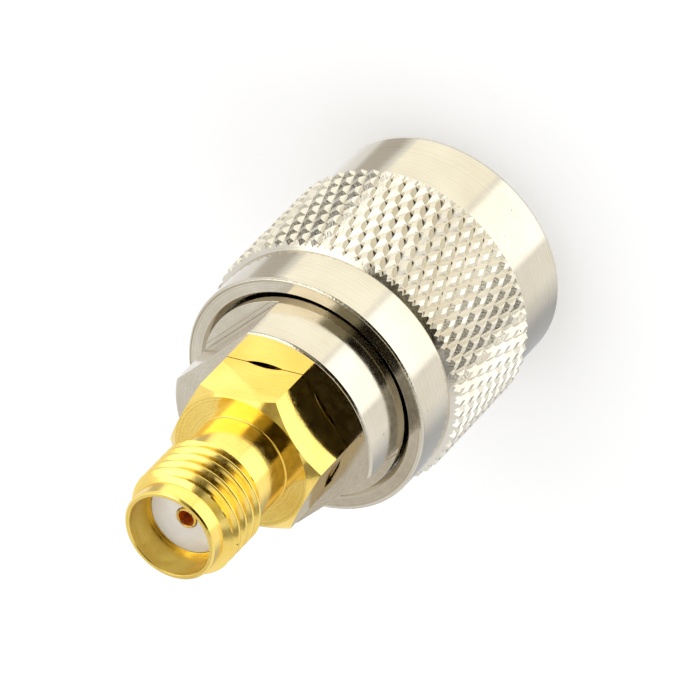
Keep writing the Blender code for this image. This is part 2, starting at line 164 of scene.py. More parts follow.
# Hexagon and its shank
HEX_FLATS = 8.0
HEX_TURN = math.radians(19.5)
HEX_FACE_DROP = 0.03     # flats in to the circle that the corner chamfer leaves
HEX_FACE_R = HEX_FLATS / 2 - HEX_FACE_DROP
HEX_CHAMFER = 0.5
HEX_EASE = 0.035
SPIGOT_R = 3.43

# Plug body
BODY_R = 6.0
BODY_FLATS = 10.0
BODY_FRONT_CHAMFER = 0.15
BODY_BACK_CHAMFER = 0.13
BODY_EASE = 0.04
SHOULDER_GROOVE = 0.25   # mark left by the mill in the corner of a wrench flat
GROOVE_LIFT = 0.3        # share of that mark by which its middle lies above the shoulder
RECESS_WIDTH = 0.725     # relief round the shank
RECESS_R = SPIGOT_R + RECESS_WIDTH
RECESS_DEPTH = 0.3
SEAT_DEPTH = 2.2         # sleeve's seat in the body
SLEEVE_SEAT_Z = BODY_FRONT_Z + SEAT_DEPTH

# Coupling nut
NUT_R = 7.18
NUT_PLAY = 0.10          # round the body
NUT_HOLE_R = BODY_R + NUT_PLAY
NUT_HOLE_CHAMFER = 0.25
NUT_BACK_CHAMFER = 0.10
NUT_FRONT_CHAMFER = 0.14
NUT_FRONT_FILLET = 0.06
NUT_LEAD_CHAMFER = 0.48
NUT_THREAD_R = 5.17      # over the crests, as the solid's plain bore
NUT_THREAD_DEPTH = 0.41
NUT_THREAD_ROOT_R = NUT_THREAD_R + NUT_THREAD_DEPTH
NUT_THREAD_PITCH = INCH / 28
NUT_RELIEF_DEPTH = 0.45
NUT_RELIEF_R = NUT_THREAD_R + NUT_RELIEF_DEPTH
NUT_RELIEF_LENGTH = 1.3
SHELF_GAP = 0.3          # nut's inner shelf to the body's front face
NUT_SHELF_Z = BODY_FRONT_Z - SHELF_GAP
NUT_THREAD_Z = NUT_SHELF_Z - NUT_RELIEF_LENGTH
BAND_LENGTH = 3.87       # plain band ahead of the knurl

# Snap ring's two grooves
RING_DEPTH = 1.7         # nut's back to the middle of the ring
RING_Z = NUT_BACK_Z - RING_DEPTH
RING_THICK = 0.7
RING_PLAY = 0.1
RING_GROOVE_DEPTH = 0.6
RING_GROOVE_R = BODY_R - RING_GROOVE_DEPTH
NUT_GROOVE_DEPTH = 0.5
NUT_GROOVE_R = NUT_HOLE_R + NUT_GROOVE_DEPTH

# Knurl
KNURL_TEETH = 60
KNURL_ROWS = 7
KNURL_ROW_PITCH = 1.0    # half a diamond along the axis
KNURL_RISE = 0.42        # flat tops above the collar
KNURL_LAND_R = NUT_R + KNURL_RISE
KNURL_DEPTH = 0.24       # flat tops down to the valleys
KNURL_ROOT_R = KNURL_LAND_R - KNURL_DEPTH
KNURL_LAND = 0.38        # share of each pyramid's slope that its flat top takes
KNURL_RIM_LENGTH = 0.25  # outermost row to the chamfer
KNURL_CHAMFER = 0.35
KNURL_SINK = 0.18        # foot of the knurl's ring, inside the nut's sleeve
KNURL_FLOOR_R = NUT_R - KNURL_SINK
KNURL_PHASE = math.radians(1.17)
KNURL_EASE = 0.05
KNURL_EASE_ANGLE = math.radians(12)

# Plug's slotted sleeve
SLEEVE_R = 4.05
SLEEVE_WALL = 0.77
SLEEVE_BORE_R = SLEEVE_R - SLEEVE_WALL
SLEEVE_EASE = 0.03
SLEEVE_TIP_Z = 1.8
SLEEVE_TIP_RISE = 0.07   # swelling at the fingers' tips
SLEEVE_TIP_R = SLEEVE_R + SLEEVE_TIP_RISE
SLEEVE_TIP_LENGTH = 0.8
SLEEVE_TIP_CHAMFER = 0.1
SLEEVE_TIP_FILLET = 0.3
FINGER_WALL = 0.55
FINGER_BORE_R = SLEEVE_R - FINGER_WALL
FINGER_LENGTH = 4.2
FINGER_Z = SLEEVE_TIP_Z + FINGER_LENGTH
SLEEVE_SLOTS = 4
SLOT_WIDTH = 0.3
SLOT_LENGTH = 3.4
SLOT_Z = SLEEVE_TIP_Z + SLOT_LENGTH

# Plug's insulator
PLUG_INSULATOR_R = SLEEVE_BORE_R - SEAT_GAP
PLUG_INSULATOR_Z = 3.6
HOLLOW_WALL = 0.835      # leaves room for the mating dielectric round the pin
HOLLOW_R = PLUG_INSULATOR_R - HOLLOW_WALL
HOLLOW_DEPTH = 2.8
HOLLOW_Z = PLUG_INSULATOR_Z + HOLLOW_DEPTH
HOLLOW_FLOOR = 1.6       # hollow's floor to the contact's collar

# Centre contact
PIN_R = 0.675
PIN_TIP_R = 0.25
PIN_TIP_Z = 2.1
PIN_TAPER = 0.9
PIN_TIP_FILLET = 0.15
PIN_FILLET = 0.4
SOCKET_R = 0.60
SOCKET_PROUD = 0.1       # socket's face above the insulator
SOCKET_FACE_Z = JACK_FLOOR_Z + SOCKET_PROUD
SOCKET_CHAMFER = 0.04
SOCKET_LEAD = 0.05
SOCKET_WALL = 0.16
SOCKET_HOLE_R = SOCKET_R - SOCKET_WALL
SOCKET_HOLE_DEPTH = 3.0
SOCKET_SLOTS = 4
SOCKET_SLOT_WIDTH = 0.05
SOCKET_SLOT_DEPTH = 2.0
CAPTIVE_RISE = 0.4       # collar held between the two insulators
CAPTIVE_R = SOCKET_R + CAPTIVE_RISE
CAPTIVE_Z = HOLLOW_Z + HOLLOW_FLOOR

# Gasket
GASKET_PLAY = 0.08       # round the sleeve's tips
GASKET_INNER_R = SLEEVE_TIP_R + GASKET_PLAY
GASKET_WIDTH = 0.8
GASKET_OUTER_R = GASKET_INNER_R + GASKET_WIDTH
GASKET_THICK = 1.5
GASKET_FILLET = 0.2


def place_camera():
    """Look at the part along the photograph's line, from its distance."""
    ahead = Vector((-math.sin(CAMERA_AZIMUTH) * math.cos(CAMERA_ELEVATION),
                    math.cos(CAMERA_AZIMUTH) * math.cos(CAMERA_ELEVATION),
                    -math.sin(CAMERA_ELEVATION)))
    target = Vector(CAMERA_TARGET) * MM
    lens = bpy.data.cameras.new("camera")
    lens.lens = CAMERA_LENS
    lens.sensor_width = CAMERA_SENSOR
    lens.clip_start = CAMERA_DISTANCE * MM / CLIP_RATIO
    lens.clip_end = CAMERA_DISTANCE * MM * CLIP_RATIO
    camera = bpy.data.objects.new("camera", lens)
    bpy.context.collection.objects.link(camera)
    level = ahead.to_track_quat("-Z", "Y").to_matrix()
    camera.matrix_world = (Matrix.Translation(target - ahead * CAMERA_DISTANCE * MM)
                           @ (level @ Matrix.Rotation(CAMERA_ROLL, 3, "Z")).to_4x4())
    bpy.context.scene.camera = camera


place_camera()


def linear(code):
    """Turn an sRGB hex colour into linear values with full alpha."""
    channels = [int(code[i:i + 2], 16) / 255 for i in (1, 3, 5)]
    return (*(c / 12.92 if c <= 0.04045 else ((c + 0.055) / 1.055) ** 2.4 for c in channels), 1.0)


def add(tree, kind, settings=None, links=None):
    """Add a shader node, fill its fields and sockets, and link outputs into it."""
    node = tree.nodes.new("ShaderNode" + kind)
    for key, value in (settings or {}).items():
        if isinstance(key, str) and hasattr(node, key):
            setattr(node, key, value)
        else:
            node.inputs[key].default_value = value
    for key, (source, output) in (links or {}).items():
        tree.links.new(source.outputs[output], node.inputs[key])
    return node


def blank_material(name):
    """A material with an empty node tree."""
    material = bpy.data.materials.new(name)
    material.use_nodes = True
    material.node_tree.nodes.clear()
    return material, material.node_tree


def close_material(tree, shader, output="BSDF"):
    """Send a shader to the surface."""
    add(tree, "OutputMaterial", links={"Surface": (shader, output)})


def position_mm(tree):
    """Point on the piece in millimetres, its radius, its height, and its place on a tool's path."""
    place = add(tree, "TexCoord")
    point = add(tree, "VectorMath", {"operation": "SCALE", "Scale": 1 / MM}, {0: (place, "Object")})
    parts = add(tree, "SeparateXYZ", links={0: (point, 0)})
    flat = add(tree, "CombineXYZ", links={"X": (parts, "X"), "Y": (parts, "Y")})
    radius = add(tree, "VectorMath", {"operation": "LENGTH"}, {0: (flat, 0)})
    feed = add(tree, "Math", {"operation": "ADD"}, {0: (radius, "Value"), 1: (parts, "Z")})
    return point, (radius, "Value"), (parts, "Z"), feed


def worn_edge(tree, radius, height, noise, edge, relief):
    """Dents and rubbed spots along a turned edge, given as its radius, height and reach."""
    edge_r, edge_z, reach = edge
    across = add(tree, "Math", {"operation": "SUBTRACT", 1: edge_r}, {0: radius})
    along = add(tree, "Math", {"operation": "SUBTRACT", 1: edge_z}, {0: height})
    offset = add(tree, "CombineXYZ", links={"X": (across, 0), "Y": (along, 0)})
    away = add(tree, "VectorMath", {"operation": "LENGTH"}, {0: (offset, 0)})
    near = add(tree, "MapRange", {"From Min": reach, "From Max": 0.0, "To Max": EDGE_WEAR},
               {"Value": (away, "Value")})
    dents = add(tree, "Math", {"operation": "MULTIPLY"}, {0: (near, 0), 1: (noise, 0)})
    return add(tree, "Math", {"operation": "ADD"}, {0: (dents, 0), 1: (relief, 0)})


def bright_metal(name, face, deep, stain, roughness, line_depth, line_pitch, specks, grain=1.0,
                 edges=()):
    """Bright metal as its tool left it, plated or bare.

    The eye sees a mirror broken by the tool's fine rings and a fine stipple, a slow drift in
    the metal's colour, a few dark pin-holes, and rubbed edges. The rings are drawn about a
    tenth of a millimetre apart, coarser than a tool leaves them, so that they show.
    """
    material, tree = blank_material(name)
    point, radius, height, feed = position_mm(tree)
    rings = add(tree, "TexNoise", {"noise_dimensions": "1D", "Scale": 1 / line_pitch,
                                   "Detail": 3.0, "Roughness": 0.65}, {"W": (feed, 0)})
    drift = add(tree, "TexNoise", {"Scale": 1 / DRIFT_SIZE, "Detail": 2.0}, {"Vector": (point, 0)})
    streaks = add(tree, "Math", {"operation": "MULTIPLY_ADD", 1: 0.7},
                  {0: (rings, 0), 2: (drift, 0)})
    patch = add(tree, "MapRange", {"From Min": 0.65, "From Max": 1.1}, {"Value": (streaks, 0)})
    tint = add(tree, "Mix", {"data_type": "RGBA", 6: linear(face), 7: linear(deep)},
               {0: (patch, 0)})
    cells = add(tree, "TexVoronoi", {"Scale": 1 / SPECK_CELL}, {"Vector": (point, 0)})
    chance = add(tree, "SeparateColor", links={0: (cells, "Color")})
    chosen = add(tree, "Math", {"operation": "LESS_THAN", 1: specks}, {0: (chance, "Red")})
    size = add(tree, "Math", {"operation": "MULTIPLY", 1: SPECK_REACH}, {0: (chance, "Green")})
    pit = add(tree, "Math", {"operation": "LESS_THAN"}, {0: (cells, "Distance"), 1: (size, 0)})
    speck = add(tree, "Math", {"operation": "MULTIPLY"}, {0: (chosen, 0), 1: (pit, 0)})
    colour = add(tree, "Mix", {"data_type": "RGBA", 7: linear(stain)},
                 {0: (speck, 0), 6: (tint, 2)})
    smear = add(tree, "TexNoise", {"Scale": 1 / SMEAR_SIZE, "Detail": 4.0}, {"Vector": (point, 0)})
    gloss = add(tree, "MapRange", {"From Min": 0.3, "From Max": 0.75, "To Min": roughness * 0.7,
                                   "To Max": roughness * 1.5}, {"Value": (smear, 0)})
    stipple = add(tree, "TexNoise", {"Scale": 1 / STIPPLE_SIZE, "Detail": 2.0},
                  {"Vector": (point, 0)})
    ripple = add(tree, "Math", {"operation": "MULTIPLY_ADD", 1: grain},
                 {0: (stipple, 0), 2: (rings, 0)})
    for edge in edges:
        ripple = worn_edge(tree, radius, height, stipple, edge, ripple)
    relief = add(tree, "Bump", {"Strength": 1.0, "Distance": line_depth * MM},
                 {"Height": (ripple, 0)})
    shader = add(tree, "BsdfPrincipled", {"Metallic": 1.0},
                 {"Base Color": (colour, 2), "Roughness": (gloss, 0), "Normal": (relief, 0)})
    close_material(tree, shader)
    return material


def gold_flash_on_turned_brass():
    """Jack's barrel: a warm mirror that the lathe's rings blur round the axis."""
    return bright_metal("gold_flash_on_turned_brass", "#F9DD7E", "#EFCB66", GOLD_STAIN,
                        roughness=0.17, line_depth=0.0010, line_pitch=0.10, specks=0.6)


def gold_flash_on_milled_brass():
    """Hexagon: the same gold on smoother flats, clear enough to mirror dark and light."""
    return bright_metal("gold_flash_on_milled_brass", "#F9DD7E", "#EFCB66", GOLD_STAIN,
                        roughness=0.10, line_depth=0.0012, line_pitch=0.10, specks=0.45,
                        grain=1.6)


def gold_flash_in_the_bore():
    """Jack's bore: thinner, duller gold that only glows where light reaches it."""
    return bright_metal("gold_flash_in_the_bore", "#EFD672", "#E3C45E", GOLD_STAIN,
                        roughness=0.42, line_depth=0.0016, line_pitch=0.10, specks=0.5)


def gold_plate_on_contact():
    """Pin and socket: thick gold, redder than the flash, with a satin shine."""
    return bright_metal("gold_plate_on_contact", "#F3D47E", "#E8C068", GOLD_STAIN,
                        roughness=0.2, line_depth=0.0012, line_pitch=0.08, specks=0.3)


def painted_bounce_gold_for_socket():
    """Socket's hole: gold with the deep orange of light bounced gold to gold painted into its
    colour as a painted reflection, without a mirror.
    """
    return bright_metal("painted_bounce_gold_for_socket", "#F4A552", "#DC8234", GOLD_STAIN,
                        roughness=0.75, line_depth=0.0012, line_pitch=0.08, specks=0.3)


def nickel_plate_on_turned_brass():
    """Plug body and sleeve: a warm grey mirror in rings, rubbed at the body's rear edge."""
    return bright_metal("nickel_plate_on_turned_brass", "#D6CFC0", "#CCC4B3", NICKEL_STAIN,
                        roughness=0.12, line_depth=0.0014, line_pitch=0.12, specks=0.35,
                        edges=[(BODY_R, BODY_BACK_Z, 0.12)])


def nickel_plate_on_nut():
    """Nut's collar and front band: the same nickel with finer rings and a dented rear edge."""
    return bright_metal("nickel_plate_on_nut", "#D6CFC0", "#CAC2B1", NICKEL_STAIN,
                        roughness=0.12, line_depth=0.0010, line_pitch=0.12, specks=0.35,
                        edges=[(NUT_R, NUT_BACK_Z, 0.2)])


def nickel_plate_on_rolled_knurl():
    """Knurl: paler nickel, roughened where the rolls pressed it, so each facet sparkles."""
    return bright_metal("nickel_plate_on_rolled_knurl", "#DAD5CA", "#D0C9BA", NICKEL_STAIN,
                        roughness=0.16, line_depth=0.0026, line_pitch=0.07, specks=0.5,
                        grain=1.6)


def rolled_spring_steel():
    """Snap ring: plain grey steel with the satin of rolled wire."""
    return bright_metal("rolled_spring_steel", "#B9B6B0", "#A8A49C", STEEL_STAIN,
                        roughness=0.25, line_depth=0.002, line_pitch=0.12, specks=0.5)


def plastic(name, face, deep, ior, roughness, grain_size, grain_depth, sheen_through):
    """Turned or moulded polymer: soft light inside, faint cloud, fine grain on the skin."""
    material, tree = blank_material(name)
    point, _, _, feed = position_mm(tree)
    cloud = add(tree, "TexNoise", {"Scale": 1 / CLOUD_SIZE, "Detail": 3.0}, {"Vector": (point, 0)})
    patch = add(tree, "MapRange", {"From Min": 0.35, "From Max": 0.7}, {"Value": (cloud, 0)})
    colour = add(tree, "Mix", {"data_type": "RGBA", 6: linear(face), 7: linear(deep)},
                 {0: (patch, 0)})
    rings = add(tree, "TexNoise", {"noise_dimensions": "1D", "Scale": 1 / grain_size,
                                   "Detail": 2.0}, {"W": (feed, 0)})
    gloss = add(tree, "MapRange", {"To Min": roughness * 0.85, "To Max": roughness * 1.2},
                {"Value": (cloud, 0)})
    relief = add(tree, "Bump", {"Strength": 1.0, "Distance": grain_depth * MM},
                 {"Height": (rings, 0)})
    shader = add(tree, "BsdfPrincipled",
                 {"IOR": ior, "Subsurface Weight": sheen_through,
                  "Subsurface Scale": LIGHT_DEPTH * MM, "Subsurface Radius": (1.0, 0.95, 0.9)},
                 {"Base Color": (colour, 2), "Roughness": (gloss, 0), "Normal": (relief, 0)})
    close_material(tree, shader)
    return material


def turned_ptfe():
    """Insulators: milky white with a waxy skin, and faint rings from the lathe."""
    return plastic("turned_ptfe", "#EFEDEA", "#E2DFDC", ior=1.35, roughness=0.4,
                   grain_size=0.07, grain_depth=0.002, sheen_through=0.3)


def moulded_silicone():
    """Gasket: dull brick-red rubber."""
    return plastic("moulded_silicone", "#8A3527", "#7A2C20", ior=1.41, roughness=0.5,
                   grain_size=0.12, grain_depth=0.003, sheen_through=0.1)


def rounded(corners, closed=True):
    """Turn (radius, height, fillet) corners into an outline with arcs at its fillets.

    A point just before and after each arc keeps the shading of the flats beside it level.
    """
    outline = []
    count = len(corners)
    for index, (r, z, fillet) in enumerate(corners):
        here = Vector((r, z))
        ends = not closed and index in (0, count - 1)
        if not fillet or ends:
            outline.append(tuple(here))
            continue
        back = Vector(corners[index - 1][:2]) - here
        ahead = Vector(corners[(index + 1) % count][:2]) - here
        half = back.angle(ahead) / 2
        reach = fillet / math.tan(half)
        bisector = (back.normalized() + ahead.normalized()).normalized()
        centre = here + bisector * fillet / math.sin(half)
        start = here + back.normalized() * reach - centre
        sweep = start.angle_signed(here + ahead.normalized() * reach - centre)
        steps = max(2, math.ceil(abs(sweep) / ARC_STEP))
        outline.append(tuple(here + back.normalized() * (reach + ARC_LEAD)))
        for step in range(steps + 1):
            turn = -sweep * step / steps
            outline.append((centre.x + start.x * math.cos(turn) - start.y * math.sin(turn),
                            centre.y + start.x * math.sin(turn) + start.y * math.cos(turn)))
        outline.append(tuple(here + ahead.normalized() * (reach + ARC_LEAD)))
    return outline


def between(start, end, pitch):
    """Heights from start to end, close enough to draw a thread."""
    return list(np.linspace(start, end, max(2, round(abs(end - start) / pitch) + 1)))


def stand_alone(name, bm):
    """Turn a bmesh into an object with its faces looking out."""
    bmesh.ops.recalc_face_normals(bm, faces=bm.faces)
    mesh = bpy.data.meshes.new(name)
    bm.to_mesh(mesh)
    bm.free()
    piece = bpy.data.objects.new(name, mesh)
    bpy.context.collection.objects.link(piece)
    return piece


def lathe(name, outline, steps=LATHE_STEPS, closed=True, shape=None):
    """Turn an outline about Z; shape may change a point's radius round the turn."""
    angles = np.arange(steps) * TURN / steps
    radius = np.array([p[0] for p in outline])[:, None] * np.ones(steps)
    height = np.array([p[1] for p in outline])[:, None] * np.ones(steps)
    if shape:
        radius = shape(radius, height, angles[None, :])
    points = np.stack([radius * np.cos(angles), radius * np.sin(angles), height], axis=-1)
    rows = len(outline)
    faces = []
    for row in range(rows if closed else rows - 1):
        low = row * steps
        high = (row + 1) % rows * steps
        faces += [(low + i, low + (i + 1) % steps, high + (i + 1) % steps, high + i)
                  for i in range(steps)]
    mesh = bpy.data.meshes.new(name)
    mesh.from_pydata((points.reshape(-1, 3) * MM).tolist(), [], faces)
    bm = bmesh.new()
    bm.from_mesh(mesh)
    if not closed:
        bmesh.ops.remove_doubles(bm, verts=[v for v in bm.verts if v.co.xy.length < WELD * MM],
                                 dist=WELD * MM)
    bpy.data.meshes.remove(mesh)
    piece = stand_alone(name, bm)
    smooth(piece)
    return piece


def smooth(piece, angle=CREASE):
    """Shade a piece smooth, but for creases sharper than an angle."""
    piece.data.shade_smooth()
    piece.data.set_sharp_from_angle(angle=angle)


def above_zero(value):
    """The larger of value and zero, with the corner between them rounded."""
    return (value + np.sqrt(value ** 2 + THREAD_ROUNDING ** 2)) / 2


def thread_depth(height, angles, pitch, flat):
    """How far below its crest a right-hand thread lies, before its root."""
    turns = height / pitch - angles / TURN
    from_crest = np.abs(turns - np.round(turns)) * pitch
    return above_zero(from_crest - flat / 2) * FLANK_SLOPE


def jack_thread(radius, height, angles):
    """Cut the jack's thread, bevelled where it starts and where it runs out."""
    top = JACK_THREAD_TOP_Z
    end = JACK_THREAD_END_Z
    depth = thread_depth(height, angles, JACK_THREAD_PITCH, JACK_THREAD_PITCH / 8)
    cut = NECK_R + above_zero(JACK_THREAD_R - NECK_R - depth)
    bevel = np.minimum(LEAD_R + (top - height) * RUN_IN_SLOPE,
                       NECK_R + (height - end) * RUN_OUT_SLOPE)
    threaded = (radius > LEAD_R) & (height > end) & (height < top)
    return np.where(threaded, np.maximum(np.minimum(cut, bevel), LEAD_R), radius)


def nut_thread(radius, height, angles):
    """Cut the coupling nut's thread, opened by its lead chamfer."""
    depth = thread_depth(height, angles, NUT_THREAD_PITCH, NUT_THREAD_PITCH / 8)
    cut = NUT_THREAD_ROOT_R - above_zero(NUT_THREAD_ROOT_R - NUT_THREAD_R - depth)
    lead = NUT_THREAD_R + NUT_LEAD_CHAMFER - height
    threaded = (radius < NUT_THREAD_ROOT_R) & (height < NUT_THREAD_Z) & (height > 0.0)
    return np.where(threaded, np.maximum(cut, lead), radius)


def combine(piece, tool, operation):
    """Cut or trim a piece by another, which goes."""
    change = piece.modifiers.new(operation, "BOOLEAN")
    change.operation = operation
    change.solver = "EXACT"
    change.object = tool
    graph = bpy.context.evaluated_depsgraph_get()
    made = bpy.data.meshes.new_from_object(piece.evaluated_get(graph))
    piece.modifiers.clear()
    piece.data = made
    bpy.data.objects.remove(tool)


def cut_away(piece, boxes):
    """Take turned boxes (size, centre, turn) off a piece."""
    bm = bmesh.new()
    for size, centre, turn in boxes:
        place = Matrix.Rotation(turn, 4, "Z") @ Matrix.Translation([c * MM for c in centre])
        scale = Matrix.Diagonal([*(s * MM for s in size), 1.0])
        bmesh.ops.create_cube(bm, size=1.0, matrix=place @ scale)
    combine(piece, stand_alone("cutter", bm), "DIFFERENCE")


def ease_edges(piece, width, angle=EASE_ANGLE):
    """Break sharp edges, as tumbling and plating do."""
    bevel = piece.modifiers.new("eased_edges", "BEVEL")
    bevel.width = width * MM
    bevel.segments = EASE_SEGMENTS
    bevel.limit_method = "ANGLE"
    bevel.angle_limit = angle
    bevel.harden_normals = True
    piece.data.shade_smooth()


def dress(piece, body, node, material):
    """Give a piece its finish, and let it stand for its CAD node."""
    piece.data.materials.clear()
    piece.data.materials.append(material)
    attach(piece, body)
    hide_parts(node)


def line_bore(piece, material, inner_r, outer_r, low_z):
    """Give the wall between two radii, above a height, a finish of its own."""
    piece.data.materials.append(material)
    for face in piece.data.polygons:
        middle = face.center / MM
        if inner_r <= middle.xy.length < outer_r and middle.z > low_z:
            face.material_index = 1


def jack_barrel(gold, bore_gold):
    """Mouth, plain lead, thread and neck."""
    top = JACK_THREAD_TOP_Z
    end = JACK_THREAD_END_Z
    root_z = HEX_FACE_Z - BARREL_SINK
    foot_z = HEX_FACE_Z + NECK_FOOT_LIFT
    mouth = rounded([(JACK_SEAT_R, root_z, 0), (JACK_SEAT_R, JACK_FLOOR_Z, FINE),
                     (JACK_BORE_R, JACK_FLOOR_Z, SMALL),
                     (JACK_BORE_R, MOUTH_Z - MOUTH_BORE_CHAMFER, HAIR),
                     (JACK_BORE_R + MOUTH_BORE_FLARE, MOUTH_Z, HAIR),
                     (LEAD_R - MOUTH_CHAMFER, MOUTH_Z, SMALL),
                     (LEAD_R, MOUTH_Z - MOUTH_CHAMFER, FAIR), (LEAD_R, top, 0)], closed=False)
    thread = [(JACK_THREAD_R, z) for z in between(top - JACK_THREAD_STEP / 2,
                                                  end + JACK_THREAD_STEP / 2, JACK_THREAD_STEP)]
    neck = rounded([(NECK_R, end, 0), (NECK_R, foot_z, NECK_FOOT_FILLET),
                    (NECK_R + NECK_FOOT, foot_z, 0), (NECK_R + NECK_FOOT, root_z, 0)],
                   closed=False)
    piece = lathe("jack_barrel", mouth + thread + neck, shape=jack_thread)
    dress(piece, "adapter", "sma_body", gold)
    line_bore(piece, bore_gold, JACK_BORE_R - SMALL, JACK_BORE_R + BORE_MARGIN, JACK_FLOOR_Z)


def jack_hexagon(gold):
    """Hexagon with its corners chamfered, and the shank behind it."""
    corner_r = HEX_FLATS / math.sqrt(3)
    seat = BODY_BACK_Z + SEAT_GAP
    outline = [(JACK_SEAT_R, SPIGOT_END_Z), (JACK_SEAT_R, HEX_FACE_Z), (HEX_FACE_R, HEX_FACE_Z),
               (corner_r, HEX_FACE_Z - HEX_CHAMFER), (corner_r, seat), (SPIGOT_R, seat),
               (SPIGOT_R, SPIGOT_END_Z)]
    piece = lathe("jack_hexagon", outline)
    height = HEX_FACE_Z - seat
    boxes = [((HEX_CUTTER, corner_r, height + 2 * HEX_CUTTER),
              (HEX_FLATS / 2 + HEX_CUTTER / 2, 0.0, seat + height / 2), HEX_TURN + i * TURN / 6)
             for i in range(6)]
    cut_away(piece, boxes)
    ease_edges(piece, HEX_EASE)
    dress(piece, "adapter", "sma_body", gold)


def ring_groove(play):
    """Heights of a groove that holds the snap ring with some play."""
    return RING_Z - RING_THICK / 2 - play, RING_Z + RING_THICK / 2 + play


def plug_barrel(nickel):
    """Body with two wrench flats, ring groove and stepped bore."""
    groove = ring_groove(SEAT_GAP)
    sleeve_bore = SLEEVE_R + SEAT_GAP
    insulator_bore = PLUG_INSULATOR_R + SEAT_GAP
    spigot_bore = SPIGOT_R + SEAT_GAP
    recess_z = BODY_BACK_Z - RECESS_DEPTH
    outline = rounded([
        (sleeve_bore, BODY_FRONT_Z, BROAD), (BODY_R - BODY_FRONT_CHAMFER, BODY_FRONT_Z, SMALL),
        (BODY_R, BODY_FRONT_Z + BODY_FRONT_CHAMFER, SMALL), (BODY_R, groove[0], 0),
        (RING_GROOVE_R, groove[0], 0), (RING_GROOVE_R, groove[1], 0), (BODY_R, groove[1], 0),
        (BODY_R, BODY_BACK_Z - BODY_BACK_CHAMFER, 0), (BODY_R - BODY_BACK_CHAMFER, BODY_BACK_Z, 0),
        (RECESS_R, BODY_BACK_Z, 0), (RECESS_R, recess_z, 0), (spigot_bore, recess_z, 0),
        (spigot_bore, STACK_Z, 0), (insulator_bore, STACK_Z, 0), (insulator_bore, SLEEVE_SEAT_Z, 0),
        (sleeve_bore, SLEEVE_SEAT_Z, 0)])
    piece = lathe("plug_barrel", outline)
    flat_x = BODY_FLATS / 2
    slab = BODY_R - flat_x + CUT_SPARE
    height = BODY_BACK_Z - SHOULDER_Z + CUT_SPARE
    flat = (slab, 2 * BODY_R, height), (flat_x + slab / 2, 0.0, SHOULDER_Z + height / 2)
    mill_mark = ((SHOULDER_GROOVE, 2 * BODY_R, SHOULDER_GROOVE),
                 (flat_x + SHOULDER_GROOVE / 2, 0.0, SHOULDER_Z + SHOULDER_GROOVE * GROOVE_LIFT))
    for cutter in (flat, mill_mark):
        cut_away(piece, [(*cutter, turn) for turn in (0.0, math.pi)])
    ease_edges(piece, BODY_EASE)
    dress(piece, "adapter", "tnc_body", nickel)


def knurl_heights():
    """Heights of the knurl's rows of peaks and valleys, from the top down."""
    low = BAND_LENGTH + KNURL_CHAMFER + KNURL_RIM_LENGTH
    return [low + KNURL_ROW_PITCH * row for row in range(KNURL_ROWS, -1, -1)]


def knurl_top():
    """Height at which the knurl's upper chamfer meets the collar."""
    return knurl_heights()[0] + KNURL_RIM_LENGTH + KNURL_CHAMFER


def nut_sleeve(nickel):
    """Collar, front band and threaded bore of the coupling nut."""
    groove = ring_groove(RING_PLAY)
    top = knurl_top()
    front = rounded([(NUT_R, BAND_LENGTH, 0), (NUT_R, NUT_FRONT_CHAMFER, NUT_FRONT_FILLET),
                     (NUT_R - NUT_FRONT_CHAMFER, 0.0, BROAD),
                     (NUT_THREAD_R + NUT_LEAD_CHAMFER, 0.0, 0)], closed=False)
    thread = [(NUT_THREAD_R, z) for z in between(NUT_THREAD_STEP, NUT_THREAD_Z, NUT_THREAD_STEP)]
    rear = rounded([(NUT_RELIEF_R, NUT_THREAD_Z, 0), (NUT_RELIEF_R, NUT_SHELF_Z, 0),
                    (NUT_HOLE_R, NUT_SHELF_Z, 0), (NUT_HOLE_R, groove[0], 0),
                    (NUT_GROOVE_R, groove[0], 0), (NUT_GROOVE_R, groove[1], 0),
                    (NUT_HOLE_R, groove[1], 0), (NUT_HOLE_R, NUT_BACK_Z - NUT_HOLE_CHAMFER, 0),
                    (NUT_HOLE_R + NUT_HOLE_CHAMFER, NUT_BACK_Z, SMALL),
                    (NUT_R - NUT_BACK_CHAMFER, NUT_BACK_Z, FAIR),
                    (NUT_R, NUT_BACK_Z - NUT_BACK_CHAMFER, BROAD), (NUT_R, top, 0),
                    (KNURL_FLOOR_R, top, 0), (KNURL_FLOOR_R, BAND_LENGTH, 0)], closed=False)
    piece = lathe("nut_sleeve", front + thread + rear, shape=nut_thread)
    dress(piece, "nut", "coupling_nut", nickel)


def crossed_valleys(peak_r):
    """Ring of pyramids between crossed valleys, each with its tip cut to a flat."""
    heights = knurl_heights()
    heights = [heights[0] + KNURL_ROW_PITCH, *heights, heights[-1] - KNURL_ROW_PITCH]
    columns = 2 * KNURL_TEETH
    bm = bmesh.new()
    grid = []
    peaks = []
    for row, z in enumerate([heights[0], *heights, heights[-1]]):
        line = []
        for column in range(columns):
            angle = KNURL_PHASE + column * TURN / columns
            outside = 0 < row <= len(heights)
            is_peak = outside and (row + column) % 2 == 0
            r = (peak_r if is_peak else KNURL_ROOT_R) if outside else KNURL_FLOOR_R
            vert = bm.verts.new((r * math.cos(angle) * MM, r * math.sin(angle) * MM, z * MM))
            line.append(vert)
            if is_peak:
                peaks.append(vert)
        grid.append(line)
    for row, upper in enumerate(grid):
        lower = grid[(row + 1) % len(grid)]
        for column in range(columns):
            after = (column + 1) % columns
            corners = [upper[column], upper[after], lower[after], lower[column]]
            first = (row + column) % 2
            bm.faces.new((corners[first], corners[first + 1], corners[(first + 3) % 4]))
            bm.faces.new((corners[first + 1], corners[(first + 2) % 4], corners[(first + 3) % 4]))
    bmesh.ops.bevel(bm, geom=peaks, offset=100 * KNURL_LAND, offset_type="PERCENT",
                    affect="VERTICES", segments=1)
    return stand_alone("nut_knurl", bm)


